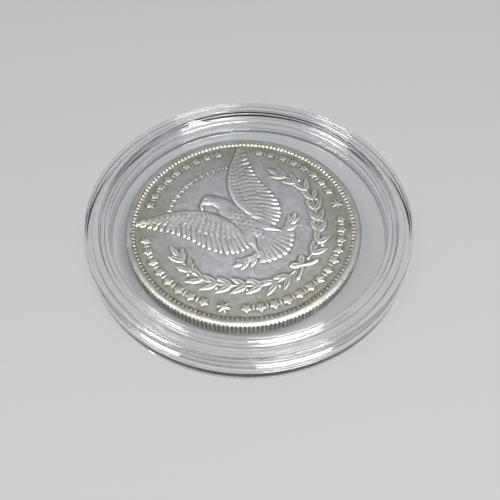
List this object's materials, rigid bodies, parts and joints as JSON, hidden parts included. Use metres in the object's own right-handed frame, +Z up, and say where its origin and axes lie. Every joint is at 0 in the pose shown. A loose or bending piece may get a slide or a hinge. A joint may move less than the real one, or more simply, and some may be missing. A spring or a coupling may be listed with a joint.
{
  "type": "coin capsule",
  "caption": "Round clear snap-together capsule that holds a loose silver coin, with raised rims on both faces for stacking.",
  "frame": {"origin": "centre of the underside, at the level the capsule stands on", "axes": "+Z up through the middle of both windows, out of the lid"},
  "size_m": [0.053, 0.053, 0.0058],
  "materials": {
    "base_shell": "clear moulded polystyrene, gloss, fine handling marks",
    "lid_shell": "clear moulded polystyrene, gloss, fine handling marks",
    "coin_silver": "worn antique silver, grey fields with warm toning and bright high points"
  },
  "bodies": {
    "base": {"base": "base_shell"},
    "lid": {"lid": "lid_shell"},
    "coin": {"coin": "coin_silver"}
  },
  "joints": [
    {"name": "lid_lift", "type": "slide", "parent": "base", "child": "lid", "axis": [0, 0, 1], "range_m": [0, 0.025]},
    {"name": "coin_shift", "type": "slide", "parent": "base", "child": "coin", "axis": [-0.4886, -0.8725, 0], "range_m": [-0.00556, 0.00212]}
  ]
}
